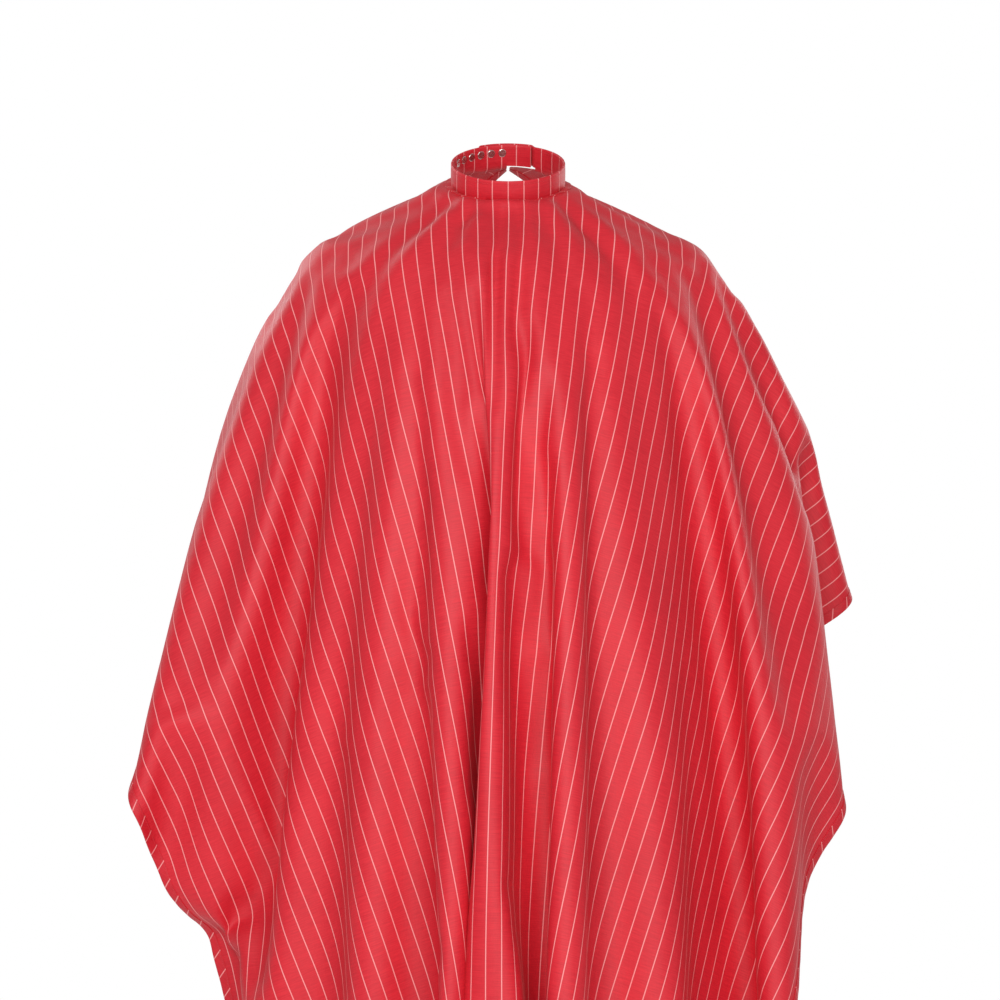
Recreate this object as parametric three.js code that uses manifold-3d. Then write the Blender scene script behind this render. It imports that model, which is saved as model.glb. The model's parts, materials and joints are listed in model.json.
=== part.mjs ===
// Barber cape, worn: one flat-cut panel of striped cloth that hangs from a folded neckband, with a bound
// edge all round and a row of snaps at the back of the neck. The cape is drawn as it hangs on a standing
// wearer whose elbows are a little out from the body. Nothing of the wearer is modelled.
//
// Millimetres. +Z is up, the front of the cape faces -Y, and the origin is the middle of the neck opening.
import * as THREE from "three";
import { mergeVertices } from "three/addons/utils/BufferGeometryUtils.js";
import Module from "manifold-3d";

const wasm = await Module();
wasm.setup();

// ---------------------------------------------------------------- driving dimensions

// The flat cut.
const CLOTH_WIDTH = 1370;
const CLOTH_LENGTH = 1520;
const NECK_TO_TOP_EDGE = 90; // neck centre to the cut's top edge
const NOTCH_RADIUS = 75; // of the neck hole in the flat cut
const OPENING_HALF_ANGLE = 24; // degrees either side of the back: the V from the neck hole to the top edge
const CLOTH_THICKNESS = 1.5; // of the solid, which stands in for cloth of about 0.2 mm

// The worn neckline and what it hangs over.
const NECK_TILT = 25; // degrees: the front of the neckline is lower than its back
const BACK_GAP_ANGLE = 1.2; // degrees either side of the back, between the closed panel's two edges
const SHOULDER_RUN = 265; // from the neck centre to the shoulder point, along the cloth
const SHOULDER_HALF = 233; // half the width over the shoulders
const ELBOW_HALF = 405; // half the width at the elbows, where the top corners of the cut hang
const CHEST_DEPTH = 160; // how far the chest stands in front of the neck centre
const FRONT_DEPTH = 350; // the same, for the front of the skirt
const BACK_DEPTH = 440; // how far back the cloth would reach if it closed behind the arms
const HEM_HALF = 395; // half the width at the hem
const HEM_SPREAD = 1.35; // how much further round the body the hem's corners lie than the cut's rays
const FOLD_COUNT = 13; // folds in a full turn round the body
const FOLD_DEPTH = 13; // of a fold at the hem, each way

// Trim.
const TRIM_GAP = 0.35; // between pieces that touch
const BINDING_WIDTH = 10;
const BINDING_PLY = 0.8;
const BINDING_GAP = 0.9; // to the panel inside it, whose flat facets twist a little between its columns
const BINDING_INSET = BINDING_WIDTH + 2; // how far in from the edge the panel stays flat for it
const CORNER_MARGIN = 3; // between a binding's end and the corner of the line it is sewn along
const OPENING_MARGIN = 12; // the same, at the opening

// Neckband, a strip folded over an interfacing.
const BAND_HEIGHT = 26;
const BAND_PLY = 0.5;
const BAND_LIFT = 1.3; // of its lower edge over the neckline
const INTERFACING_THICKNESS = 0.9;
const INTERFACING_START = 7; // height above the band's lower edge
const INTERFACING_END_ANGLE = 1.2; // degrees by which it ends short of the strip folded over it
const BAND_END_ANGLE = 150; // degrees round from the front, where the tab is joined on
const UNDERLAP_END_ANGLE = -204.5; // the band runs on past the back, under the tab
const TAB_END_ANGLE = 209;
const TAB_JOINT_ANGLE = 0.4; // degrees between the band's end and the tab's root
const TAB_STEP_ANGLE = 7.5; // degrees in which the tab steps out over the underlap

// Snaps.
const STUD_COUNT = 6;
const SOCKET_COUNT = 2;
const FIRST_STUD_ANGLE = 186;
const STUD_PITCH_ANGLE = 12;
const SNAP_RADIUS = 4.8;
const SNAP_PLATE = 0.65;
const KNOB_RADIUS = 1.8;
const KNOB_HEIGHT = 1.1;
const SOCKET_DEPTH = 1.5;
const SOCKET_PLAY = 0.55; // between the knob and the socket's wall
const POST_RADIUS = 1.1;
const POST_HOLE_PLAY = 0.4;
const CAP_DOME = 0.9;

// Fineness of the meshes.
const BOTTOM_COLUMNS = 10; // in half the bottom edge
const SIDE_COLUMNS = 14;
const TOP_COLUMNS = 12;
const RING_STEPS = 15; // from the neckline to the binding
const MARCH_STEPS = 40; // along a ray of the cut, when its hang is added up
const BAND_STEP_ANGLE = 7.5;
const TAB_FINE_ANGLE = 2.5;
const SNAP_SIDES = 16;

// ---------------------------------------------------------------- worked out from them

const radians = THREE.MathUtils.degToRad;
const NOTCH_END = Math.PI - radians(OPENING_HALF_ANGLE);
const WORN_END = Math.PI - radians(BACK_GAP_ANGLE);
const CLOSING = WORN_END / NOTCH_END;
const RING_RADIUS = NOTCH_RADIUS / CLOSING;
const TILT = radians(NECK_TILT);
const HALF_WIDTH = CLOTH_WIDTH / 2;
const BOTTOM_Y = NECK_TO_TOP_EDGE - CLOTH_LENGTH;
const ELBOW_RUN = HALF_WIDTH;
const HEM_RUN = Math.hypot(HALF_WIDTH, BOTTOM_Y);
const BAND_HALF = INTERFACING_THICKNESS / 2 + TRIM_GAP + BAND_PLY;
const STUD_FACE = BAND_HALF + TRIM_GAP + SNAP_PLATE;
const TAB_STEP = STUD_FACE + TRIM_GAP + SOCKET_DEPTH + TRIM_GAP + BAND_HALF;
const SNAP_HEIGHT = BAND_LIFT + (INTERFACING_START + BAND_HEIGHT) / 2;
const POST_HOLE = POST_RADIUS + POST_HOLE_PLAY;

// ---------------------------------------------------------------- helpers

// Straight stretches between [at, value] knots, level past both ends.
function along(knots, at) {
  const last = knots.length - 1;
  if (at <= knots[0][0]) return knots[0][1];
  if (at >= knots[last][0]) return knots[last][1];
  const k = knots.findIndex(([x]) => x > at);
  const [x0, y0] = knots[k - 1];
  const [x1, y1] = knots[k];
  return y0 + ((y1 - y0) * (at - x0)) / (x1 - x0);
}

function meshOf(name, geometry, material) {
  const mesh = new THREE.Mesh(geometry, material);
  mesh.name = name;
  return mesh;
}

function geometryOf(points, triangles) {
  const geometry = new THREE.BufferGeometry().setFromPoints(points);
  geometry.setIndex(triangles);
  geometry.computeVertexNormals();
  return geometry;
}

// Two triangles for the patch a b c d, split from a to c, or from b to d.
function patch(triangles, a, b, c, d, fromSecond) {
  if (fromSecond) {
    triangles.push(a, b, d, b, c, d);
  } else {
    triangles.push(a, b, c, a, c, d);
  }
}

// A closed body through a row of equal loops. outline is the loop's own flat shape, which fills the ends.
// mirroredUpTo is how many of the patches along it are split the other way, as the panel's are.
function loft(loops, outline, mirroredUpTo = 0) {
  const size = outline.length;
  const points = loops.flat();
  const triangles = [];
  for (let i = 0; i + 1 < loops.length; i++) {
    for (let k = 0; k < size; k++) {
      const next = (k + 1) % size;
      const a = i * size + k;
      const b = i * size + next;
      const inwards = outline[next].x > outline[k].x;
      patch(triangles, a, b, b + size, a + size, inwards !== i < mirroredUpTo);
    }
  }
  const end = (loops.length - 1) * size;
  for (const [a, b, c] of THREE.ShapeUtils.triangulateShape(outline, [])) {
    triangles.push(a, c, b, end + a, end + b, end + c);
  }
  return outward(geometryOf(points, triangles));
}

function signedVolume(geometry) {
  const at = geometry.getAttribute("position");
  const order = geometry.index.array;
  const [a, b, c] = [new THREE.Vector3(), new THREE.Vector3(), new THREE.Vector3()];
  let sum = 0;
  for (let i = 0; i < order.length; i += 3) {
    a.fromBufferAttribute(at, order[i]);
    b.fromBufferAttribute(at, order[i + 1]);
    c.fromBufferAttribute(at, order[i + 2]);
    sum += a.dot(b.cross(c));
  }
  return sum / 6;
}

// The same body with its faces pointing out.
function outward(geometry) {
  if (signedVolume(geometry) < 0) {
    const order = geometry.index.array;
    for (let i = 0; i < order.length; i += 3) {
      [order[i + 1], order[i + 2]] = [order[i + 2], order[i + 1]];
    }
    geometry.computeVertexNormals();
  }
  return geometry;
}

function solidOf(geometry) {
  const bare = geometry.clone();
  bare.deleteAttribute("normal");
  bare.deleteAttribute("uv");
  const merged = mergeVertices(bare, 1e-4);
  return new wasm.Manifold(
    new wasm.Mesh({
      numProp: 3,
      vertProperties: merged.getAttribute("position").array,
      triVerts: new Uint32Array(merged.index.array),
    }),
  );
}

// The first geometry with the others taken out of it.
function cut(geometry, tools) {
  const left = tools.reduce((body, tool) => body.subtract(solidOf(tool)), solidOf(geometry));
  const { vertProperties, triVerts } = left.getMesh();
  const made = new THREE.BufferGeometry();
  made.setAttribute("position", new THREE.BufferAttribute(vertProperties, 3));
  made.setIndex(new THREE.BufferAttribute(triVerts, 1));
  made.computeVertexNormals();
  return made;
}

// ---------------------------------------------------------------- how the cloth hangs

const sideReach = [
  [NOTCH_RADIUS, RING_RADIUS],
  [SHOULDER_RUN, SHOULDER_HALF],
  [ELBOW_RUN, ELBOW_HALF],
  [HEM_RUN, HEM_HALF],
];
const frontReach = [
  [NOTCH_RADIUS, RING_RADIUS * Math.cos(TILT)],
  [NOTCH_RADIUS + 125, CHEST_DEPTH],
  [NOTCH_RADIUS + 450, (CHEST_DEPTH + FRONT_DEPTH) / 2],
  [HEM_RUN * 0.65, FRONT_DEPTH],
];
const backReach = [
  [NOTCH_RADIUS, RING_RADIUS * Math.cos(TILT)],
  [NOTCH_RADIUS + 70, BACK_DEPTH * 0.48],
  [NOTCH_RADIUS + 230, BACK_DEPTH * 0.8],
  [ELBOW_RUN, BACK_DEPTH],
];
const foldDepth = [
  [NOTCH_RADIUS + 120, 0],
  [HEM_RUN * 0.6, FOLD_DEPTH * 0.85],
  [HEM_RUN, FOLD_DEPTH],
];
const hemSpread = [
  [ELBOW_RUN, 0],
  [HEM_RUN, HEM_SPREAD],
];

// Where a point of the cut lies in plan. run is its distance from the neck centre, ray its angle from
// the front.
function planPoint(run, ray) {
  const turn = ray * (CLOSING + along(hemSpread, run));
  const fold = along(foldDepth, run) * Math.cos(FOLD_COUNT * turn);
  const reach = Math.cos(turn) > 0 ? along(frontReach, run) : along(backReach, run);
  return [(along(sideReach, run) + fold) * Math.sin(turn), -(reach + fold) * Math.cos(turn)];
}

// A point of the flat cut on the worn cape. The height falls by what the cloth's length leaves over its plan.
function worn(flat) {
  const ray = Math.atan2(flat.x, -flat.y);
  const run = flat.length();
  let [x, y] = planPoint(NOTCH_RADIUS, ray);
  let z = y * Math.tan(TILT);
  const step = (run - NOTCH_RADIUS) / MARCH_STEPS;
  for (let i = 1; i <= MARCH_STEPS; i++) {
    const [nextX, nextY] = planPoint(NOTCH_RADIUS + i * step, ray);
    const level = Math.hypot(nextX - x, nextY - y);
    z -= Math.sqrt(Math.max(step * step - level * level, 0));
    [x, y] = [nextX, nextY];
  }
  return new THREE.Vector3(x, y, z);
}

// ---------------------------------------------------------------- the panel

// Points evenly spaced along a straight line, without its first one.
function edgePoints(from, to, count) {
  return Array.from({ length: count }, (_, i) => from.clone().lerp(to, (i + 1) / count));
}

// The same, with a point a margin from each end, where a binding stops short of the corner.
function edgeWithCorners(from, to, count, endMargin = CORNER_MARGIN) {
  const way = to.clone().sub(from).normalize();
  const start = from.clone().addScaledVector(way, CORNER_MARGIN);
  const end = to.clone().addScaledVector(way, -endMargin);
  return [start, ...edgePoints(start, end, count), to.clone()];
}

// Half of the line that lies BINDING_INSET inside the cut's edge: from the middle of the bottom, up the
// side, and in along the top to the V.
const insetHalf = HALF_WIDTH - BINDING_INSET;
const insetBottom = BOTTOM_Y + BINDING_INSET;
const insetTop = NECK_TO_TOP_EDGE - BINDING_INSET;
const openingSlope = Math.tan(radians(OPENING_HALF_ANGLE));
const bottomMiddle = new THREE.Vector2(0, insetBottom);
const bottomCorner = new THREE.Vector2(insetHalf, insetBottom);
const topCorner = new THREE.Vector2(insetHalf, insetTop);
const openingCorner = new THREE.Vector2(insetTop * openingSlope, insetTop);
const halfLine = [
  bottomMiddle,
  ...edgeWithCorners(bottomMiddle, bottomCorner, BOTTOM_COLUMNS).slice(1),
  ...edgeWithCorners(bottomCorner, topCorner, SIDE_COLUMNS),
  ...edgeWithCorners(topCorner, openingCorner, TOP_COLUMNS, OPENING_MARGIN),
];
const mirrored = (p) => new THREE.Vector2(-p.x, p.y);
const insetLine = [...halfLine.slice(1).reverse().map(mirrored), ...halfLine];
const middleColumn = halfLine.length - 1;

// The point of the cut's edge that is straight out from a point of the inset line.
function edgeBeyond(inset) {
  const edge = inset.clone();
  if (Math.abs(inset.x) === insetHalf) edge.x = Math.sign(inset.x) * HALF_WIDTH;
  if (inset.y === insetBottom) edge.y = BOTTOM_Y;
  if (inset.y === insetTop) edge.y = NECK_TO_TOP_EDGE;
  if (Math.abs(inset.x) === openingCorner.x && inset.y === insetTop) {
    edge.x = Math.sign(inset.x) * NECK_TO_TOP_EDGE * openingSlope;
  }
  return edge;
}

// grid[column][row] of the worn surface: neckline first, then the inset line and the edge last.
const grid = insetLine.map((inset) => {
  const neck = inset.clone().setLength(NOTCH_RADIUS);
  const rows = [neck, ...edgePoints(neck, inset, RING_STEPS), edgeBeyond(inset)];
  return rows.map(worn);
});

// The outward direction of the worn surface at each point of the grid.
const facing = grid.map((rows, i) =>
  rows.map((_, j) => {
    const across = grid[Math.min(i + 1, grid.length - 1)][j].clone();
    across.sub(grid[Math.max(i - 1, 0)][j]);
    const down = rows[Math.min(j + 1, rows.length - 1)].clone();
    down.sub(rows[Math.max(j - 1, 0)]);
    return down.cross(across).normalize();
  }),
);

const onPanel = (column, row, offset) =>
  grid[column][row].clone().addScaledVector(facing[column][row], offset);

function panelGeometry() {
  const rowCount = grid[0].length;
  const layer = grid.length * rowCount;
  const points = [];
  for (const offset of [CLOTH_THICKNESS / 2, -CLOTH_THICKNESS / 2]) {
    grid.forEach((rows, i) => rows.forEach((_, j) => points.push(onPanel(i, j, offset))));
  }
  const triangles = [];
  const quad = (a, b, c, d) => patch(triangles, a, b, c, d, false);
  for (let i = 0; i + 1 < grid.length; i++) {
    for (let j = 0; j + 1 < rowCount; j++) {
      const a = i * rowCount + j;
      const under = layer + a;
      patch(triangles, a, a + 1, a + rowCount + 1, a + rowCount, i < middleColumn);
      patch(triangles, under, under + rowCount, under + rowCount + 1, under + 1, i < middleColumn);
    }
    const neck = i * rowCount;
    const edge = neck + rowCount - 1;
    quad(neck, neck + rowCount, layer + neck + rowCount, layer + neck);
    quad(edge, layer + edge, layer + edge + rowCount, edge + rowCount);
  }
  const last = (grid.length - 1) * rowCount;
  for (let j = 0; j + 1 < rowCount; j++) {
    quad(j, layer + j, layer + j + 1, j + 1);
    quad(last + j, last + j + 1, layer + last + j + 1, layer + last + j);
  }
  return outward(geometryOf(points, triangles));
}

// ---------------------------------------------------------------- the bound edge

// A folded strip over the panel's edge, from one column of the grid to another. The section's x runs in
// from the edge and its y stands off the cloth.
const bindingIn = CLOTH_THICKNESS / 2 + BINDING_GAP;
const bindingOut = bindingIn + BINDING_PLY;
const bindingSection = [
  [BINDING_WIDTH, bindingOut],
  [-BINDING_GAP - BINDING_PLY, bindingOut],
  [-BINDING_GAP - BINDING_PLY, -bindingOut],
  [BINDING_WIDTH, -bindingOut],
  [BINDING_WIDTH, -bindingIn],
  [-BINDING_GAP, -bindingIn],
  [-BINDING_GAP, bindingIn],
  [BINDING_WIDTH, bindingIn],
].map(([x, y]) => new THREE.Vector2(x, y));

function bindingLoop(column) {
  const edge = grid[0].length - 1;
  return bindingSection.map((p) => {
    const outer = onPanel(column, edge, p.y);
    return outer.lerp(onPanel(column, edge - 1, p.y), p.x / BINDING_INSET);
  });
}

function bindingGeometry(first, last) {
  const columns = Array.from({ length: last - first + 1 }, (_, i) => first + i);
  return loft(columns.map(bindingLoop), bindingSection, middleColumn - first);
}

// ---------------------------------------------------------------- neckband, drawn level, tilted as a group

const bandPoint = (angle, radius, height) =>
  new THREE.Vector3(radius * Math.sin(radians(angle)), -radius * Math.cos(radians(angle)), height);

// A strip round the neck with the given section: x out from the neck, y up.
// Strips that lie in one another share their stations, which are whole steps of the angle.
function bandStrip(section, from, to, step, stepOut = () => 0) {
  const angles = [from];
  for (let angle = step * Math.ceil((from + step / 4) / step); angle < to - step / 4; angle += step) {
    angles.push(angle);
  }
  angles.push(to);
  const loops = angles.map((angle) => {
    const radius = RING_RADIUS + stepOut(angle);
    return section.map((p) => bandPoint(angle, radius + p.x, p.y));
  });
  return loft(loops, section);
}

// Folded at the top and open below, over the interfacing.
const bandTop = BAND_LIFT + BAND_HEIGHT;
const bandInner = BAND_HALF - BAND_PLY;
const foldedSection = [
  [BAND_HALF, BAND_LIFT],
  [BAND_HALF, bandTop],
  [-BAND_HALF, bandTop],
  [-BAND_HALF, BAND_LIFT],
  [-bandInner, BAND_LIFT],
  [-bandInner, bandTop - BAND_PLY],
  [bandInner, bandTop - BAND_PLY],
  [bandInner, BAND_LIFT],
].map(([x, y]) => new THREE.Vector2(x, y));

const interfacingHalf = INTERFACING_THICKNESS / 2;
const interfacingSection = [
  [interfacingHalf, BAND_LIFT + INTERFACING_START],
  [interfacingHalf, bandTop - BAND_PLY - TRIM_GAP],
  [-interfacingHalf, bandTop - BAND_PLY - TRIM_GAP],
  [-interfacingHalf, BAND_LIFT + INTERFACING_START],
].map(([x, y]) => new THREE.Vector2(x, y));

const tabRoot = BAND_END_ANGLE + TAB_JOINT_ANGLE;
const tabStepOut = (angle) => TAB_STEP * THREE.MathUtils.smoothstep(angle, tabRoot, tabRoot + TAB_STEP_ANGLE);

const studAngle = (i) => FIRST_STUD_ANGLE + i * STUD_PITCH_ANGLE;

// Turns a body drawn round +Y so that +Y points out from the neck at an angle, its own y = 0 at a radius.
function outFromNeck(object, angle, radius) {
  object.position.copy(bandPoint(angle, radius, SNAP_HEIGHT));
  object.quaternion.setFromUnitVectors(new THREE.Vector3(0, 1, 0), bandPoint(angle, 1, 0));
  return object;
}

function postHoles(angles, stepOut = () => 0) {
  return angles.map((angle) => {
    const drill = new THREE.CylinderGeometry(POST_HOLE, POST_HOLE, 4 * BAND_HALF, SNAP_SIDES);
    const placed = outFromNeck(new THREE.Object3D(), angle, RING_RADIUS + stepOut(angle));
    placed.updateMatrix();
    return drill.applyMatrix4(placed.matrix);
  });
}

// ---------------------------------------------------------------- snaps, as profiles turned round +Y

const turned = (profile) =>
  outward(
    mergeVertices(
      new THREE.LatheGeometry(
        profile.map(([r, y]) => new THREE.Vector2(r, y)),
        SNAP_SIDES,
      ).deleteAttribute("uv").deleteAttribute("normal"),
      1e-4,
    ),
  );

// y = 0 is the band's middle surface. The stud's plate lies on the outside, with its knob outwards.
function studGeometry() {
  const foot = BAND_HALF + TRIM_GAP;
  const top = STUD_FACE + KNOB_HEIGHT;
  return turned([
    [0, foot],
    [SNAP_RADIUS, foot],
    [SNAP_RADIUS, STUD_FACE - SNAP_PLATE / 3],
    [SNAP_RADIUS - 0.6, STUD_FACE],
    [KNOB_RADIUS * 0.82, STUD_FACE],
    [KNOB_RADIUS, STUD_FACE + KNOB_HEIGHT * 0.6],
    [KNOB_RADIUS * 0.7, top],
    [0, top],
  ]);
}

// The ring against the neck, with the post that goes out through the band to the stud.
function backRingGeometry() {
  const face = -BAND_HALF - TRIM_GAP;
  return turned([
    [0, face - SNAP_PLATE],
    [SNAP_RADIUS - 0.5, face - SNAP_PLATE],
    [SNAP_RADIUS, face - SNAP_PLATE / 2],
    [SNAP_RADIUS, face],
    [POST_RADIUS, face],
    [POST_RADIUS, BAND_HALF],
    [0, BAND_HALF],
  ]);
}

// y = 0 is the tab's middle surface. The socket lies under the tab, open towards the neck.
function socketGeometry() {
  const roof = -BAND_HALF - TRIM_GAP;
  const mouth = roof - SOCKET_DEPTH;
  const hole = KNOB_RADIUS + SOCKET_PLAY;
  const floor = mouth - TRIM_GAP + KNOB_HEIGHT + TRIM_GAP * 1.2;
  return turned([
    [0, roof],
    [SNAP_RADIUS, roof],
    [SNAP_RADIUS, mouth + SOCKET_DEPTH / 2],
    [hole + 1, mouth],
    [hole, mouth],
    [hole, floor],
    [0, floor],
  ]);
}

// The cap shows on the outside, with its post in through the tab.
function capGeometry() {
  const foot = BAND_HALF + TRIM_GAP;
  return turned([
    [0, -BAND_HALF],
    [POST_RADIUS, -BAND_HALF],
    [POST_RADIUS, foot],
    [SNAP_RADIUS, foot],
    [SNAP_RADIUS, foot + 0.3],
    [SNAP_RADIUS * 0.8, foot + CAP_DOME * 0.75],
    [SNAP_RADIUS * 0.4, foot + CAP_DOME],
    [0, foot + CAP_DOME],
  ]);
}

// ---------------------------------------------------------------- materials

const cloth = new THREE.MeshStandardMaterial({ color: 0xdc3640, roughness: 0.45, metalness: 0, side: 2 });
const trim = new THREE.MeshStandardMaterial({ color: 0xcf303a, roughness: 0.5, metalness: 0 });
const stiffener = new THREE.MeshStandardMaterial({ color: 0xf2efe9, roughness: 0.9, metalness: 0 });
const nickel = new THREE.MeshStandardMaterial({ color: 0xc9c9cc, roughness: 0.25, metalness: 1 });

// ---------------------------------------------------------------- the assembly

const cape = new THREE.Group();
cape.add(meshOf("cape_panel", panelGeometry(), cloth));

// The columns of the grid where the cut's corners lie, from the opening round to the opening again.
const lastColumn = insetLine.length - 1;
const cornerColumns = [
  0,
  TOP_COLUMNS + 2,
  TOP_COLUMNS + SIDE_COLUMNS + 4,
  lastColumn - TOP_COLUMNS - SIDE_COLUMNS - 4,
  lastColumn - TOP_COLUMNS - 2,
  lastColumn,
];
const bindingNames = [
  "top_binding_right",
  "side_binding_right",
  "bottom_binding",
  "side_binding_left",
  "top_binding_left",
];
bindingNames.forEach((name, i) => {
  cape.add(meshOf(name, bindingGeometry(cornerColumns[i] + 1, cornerColumns[i + 1] - 1), trim));
});

const neck = new THREE.Group();
neck.rotation.x = TILT;
cape.add(neck);

// Going round the back, a stud's angle on the band is counted down from the front.
const bandAngle = (angle) => angle - 360;
const studAngles = Array.from({ length: STUD_COUNT }, (_, i) => bandAngle(studAngle(i)));
const socketAngles = Array.from({ length: SOCKET_COUNT }, (_, i) => studAngle(i));
const bandHoles = postHoles(studAngles);
const tabHoles = postHoles(socketAngles, tabStepOut);

const band = bandStrip(foldedSection, UNDERLAP_END_ANGLE, BAND_END_ANGLE, BAND_STEP_ANGLE);
neck.add(meshOf("neckband", cut(band, bandHoles), cloth));

const bandFill = bandStrip(
  interfacingSection,
  UNDERLAP_END_ANGLE + INTERFACING_END_ANGLE,
  BAND_END_ANGLE - INTERFACING_END_ANGLE,
  BAND_STEP_ANGLE,
);
neck.add(meshOf("neckband_interfacing", cut(bandFill, bandHoles), stiffener));

const tab = bandStrip(foldedSection, tabRoot, TAB_END_ANGLE, TAB_FINE_ANGLE, tabStepOut);
neck.add(meshOf("closure_tab", cut(tab, tabHoles), cloth));

const tabFill = bandStrip(
  interfacingSection,
  tabRoot + INTERFACING_END_ANGLE,
  TAB_END_ANGLE - INTERFACING_END_ANGLE,
  TAB_FINE_ANGLE,
  tabStepOut,
);
neck.add(meshOf("closure_tab_interfacing", cut(tabFill, tabHoles), stiffener));

studAngles.forEach((angle, i) => {
  neck.add(outFromNeck(meshOf(`snap_stud_${i + 1}`, studGeometry(), nickel), angle, RING_RADIUS));
  neck.add(outFromNeck(meshOf(`snap_back_ring_${i + 1}`, backRingGeometry(), nickel), angle, RING_RADIUS));
});
socketAngles.forEach((angle, i) => {
  const radius = RING_RADIUS + tabStepOut(angle);
  neck.add(outFromNeck(meshOf(`snap_socket_${i + 1}`, socketGeometry(), nickel), angle, radius));
  neck.add(outFromNeck(meshOf(`snap_cap_${i + 1}`, capGeometry(), nickel), angle, radius));
});

export default cape;
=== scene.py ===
import json
import math
from collections import Counter

import bmesh
import bpy
import numpy as np
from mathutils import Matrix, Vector, geometry, noise
from mathutils.bvhtree import BVHTree


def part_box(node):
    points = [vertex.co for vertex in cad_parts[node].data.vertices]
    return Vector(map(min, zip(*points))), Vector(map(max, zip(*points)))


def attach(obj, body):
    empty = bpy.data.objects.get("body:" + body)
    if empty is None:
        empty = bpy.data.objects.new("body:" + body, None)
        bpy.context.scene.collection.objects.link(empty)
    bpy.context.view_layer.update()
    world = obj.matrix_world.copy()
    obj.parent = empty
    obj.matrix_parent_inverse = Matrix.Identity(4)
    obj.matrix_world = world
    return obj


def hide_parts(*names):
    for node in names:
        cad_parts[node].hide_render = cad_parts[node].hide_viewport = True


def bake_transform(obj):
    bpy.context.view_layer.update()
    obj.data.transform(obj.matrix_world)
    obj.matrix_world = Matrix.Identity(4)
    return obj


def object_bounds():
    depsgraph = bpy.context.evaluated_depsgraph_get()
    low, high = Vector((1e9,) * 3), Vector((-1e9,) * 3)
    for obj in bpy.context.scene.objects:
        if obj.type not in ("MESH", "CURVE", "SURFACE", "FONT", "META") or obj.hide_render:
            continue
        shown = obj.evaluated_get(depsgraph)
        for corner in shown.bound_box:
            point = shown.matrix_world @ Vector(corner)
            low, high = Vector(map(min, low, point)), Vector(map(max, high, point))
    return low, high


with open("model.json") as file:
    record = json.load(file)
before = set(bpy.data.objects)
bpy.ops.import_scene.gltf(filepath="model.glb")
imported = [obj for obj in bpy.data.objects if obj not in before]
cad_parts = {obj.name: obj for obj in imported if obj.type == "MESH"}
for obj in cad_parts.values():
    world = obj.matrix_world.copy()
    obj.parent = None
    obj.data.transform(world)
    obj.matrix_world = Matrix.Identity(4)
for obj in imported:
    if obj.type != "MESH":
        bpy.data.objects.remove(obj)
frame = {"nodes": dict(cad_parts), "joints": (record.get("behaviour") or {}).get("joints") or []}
CAD_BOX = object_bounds()
CAD_LOW = Vector(CAD_BOX[0])
scene = bpy.context.scene

# ---------------------------------------------------------------- the cape's sizes

CLOTH_WIDTH = 1.37
CLOTH_LENGTH = 1.52
NECK_TO_TOP_EDGE = 0.09
NOTCH_RADIUS = 0.075  # of the neck hole in the flat cut
OPENING_HALF_ANGLE = math.radians(24)  # of the V from the neck hole to the top edge
BAND_HALF = 0.0013  # half the neckband's thickness
BINDING_WIDTH = 0.010
STRIPE_PITCH = 0.018
STRIPE_WIDTH = 0.0012

hinge = frame["joints"][0]
hinge_axis = Vector(hinge["axis"]).normalized()
TILT = math.atan2(hinge_axis.y, -hinge_axis.z)  # of the neckline
band_low, band_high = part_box("neckband")
RING_RADIUS = (band_high.x - band_low.x) / 2 - BAND_HALF  # of the worn neckline
CLOSING = NOTCH_RADIUS / RING_RADIUS
HALF_WIDTH = CLOTH_WIDTH / 2
BOTTOM_EDGE = NECK_TO_TOP_EDGE - CLOTH_LENGTH
OPENING_SLOPE = math.tan(OPENING_HALF_ANGLE)
NECK_EDGE_END = math.degrees((math.pi - OPENING_HALF_ANGLE) * CLOSING)  # 178.8 degrees


def tilted(x, y, z):
    """A point drawn on the level neckline, tilted to the worn one."""
    return Vector((x, y * math.cos(TILT) - z * math.sin(TILT), y * math.sin(TILT) + z * math.cos(TILT)))


def round_neck(angle, outward, height):
    """A point by its angle from the front in degrees, how far it is outside the neckline, and its height."""
    turn = math.radians(angle)
    radius = RING_RADIUS + outward
    return tilted(radius * math.sin(turn), -radius * math.cos(turn), height)


# ---------------------------------------------------------------- camera

VIEW_WIDTH = 1.17  # seen across the frame, at the cape
VIEW_CENTRE = Vector((-0.0094, 0, -0.3686))
CAMERA_DISTANCE = 3.6


def add_camera():
    data = bpy.data.cameras.new("camera")
    data.sensor_width = 36
    data.lens = data.sensor_width * CAMERA_DISTANCE / VIEW_WIDTH
    camera = bpy.data.objects.new("camera", data)
    camera.location = VIEW_CENTRE - Vector((0, CAMERA_DISTANCE, 0))
    camera.rotation_euler = (math.pi / 2, 0, 0)
    scene.collection.objects.link(camera)
    scene.camera = camera


add_camera()


# ---------------------------------------------------------------- helpers for meshes


def new_object(name, points, faces):
    mesh = bpy.data.meshes.new(name)
    mesh.from_pydata([tuple(p) for p in points], [], faces)
    mesh.update()
    piece = bpy.data.objects.new(name, mesh)
    scene.collection.objects.link(piece)
    return piece


def shade_smooth(piece, sharp_above=None):
    piece.data.polygons.foreach_set("use_smooth", [True] * len(piece.data.polygons))
    if sharp_above is not None:
        piece.data.set_sharp_from_angle(angle=math.radians(sharp_above))


def set_uv(piece, per_vertex):
    """One UV map from each vertex's flat place on its cloth, in metres."""
    layer = piece.data.uv_layers.new(name="flat")
    for loop in piece.data.loops:
        layer.data[loop.index].uv = per_vertex[loop.vertex_index]


def evaluated_mesh(piece):
    return bpy.data.meshes.new_from_object(piece.evaluated_get(bpy.context.evaluated_depsgraph_get()))


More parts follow.
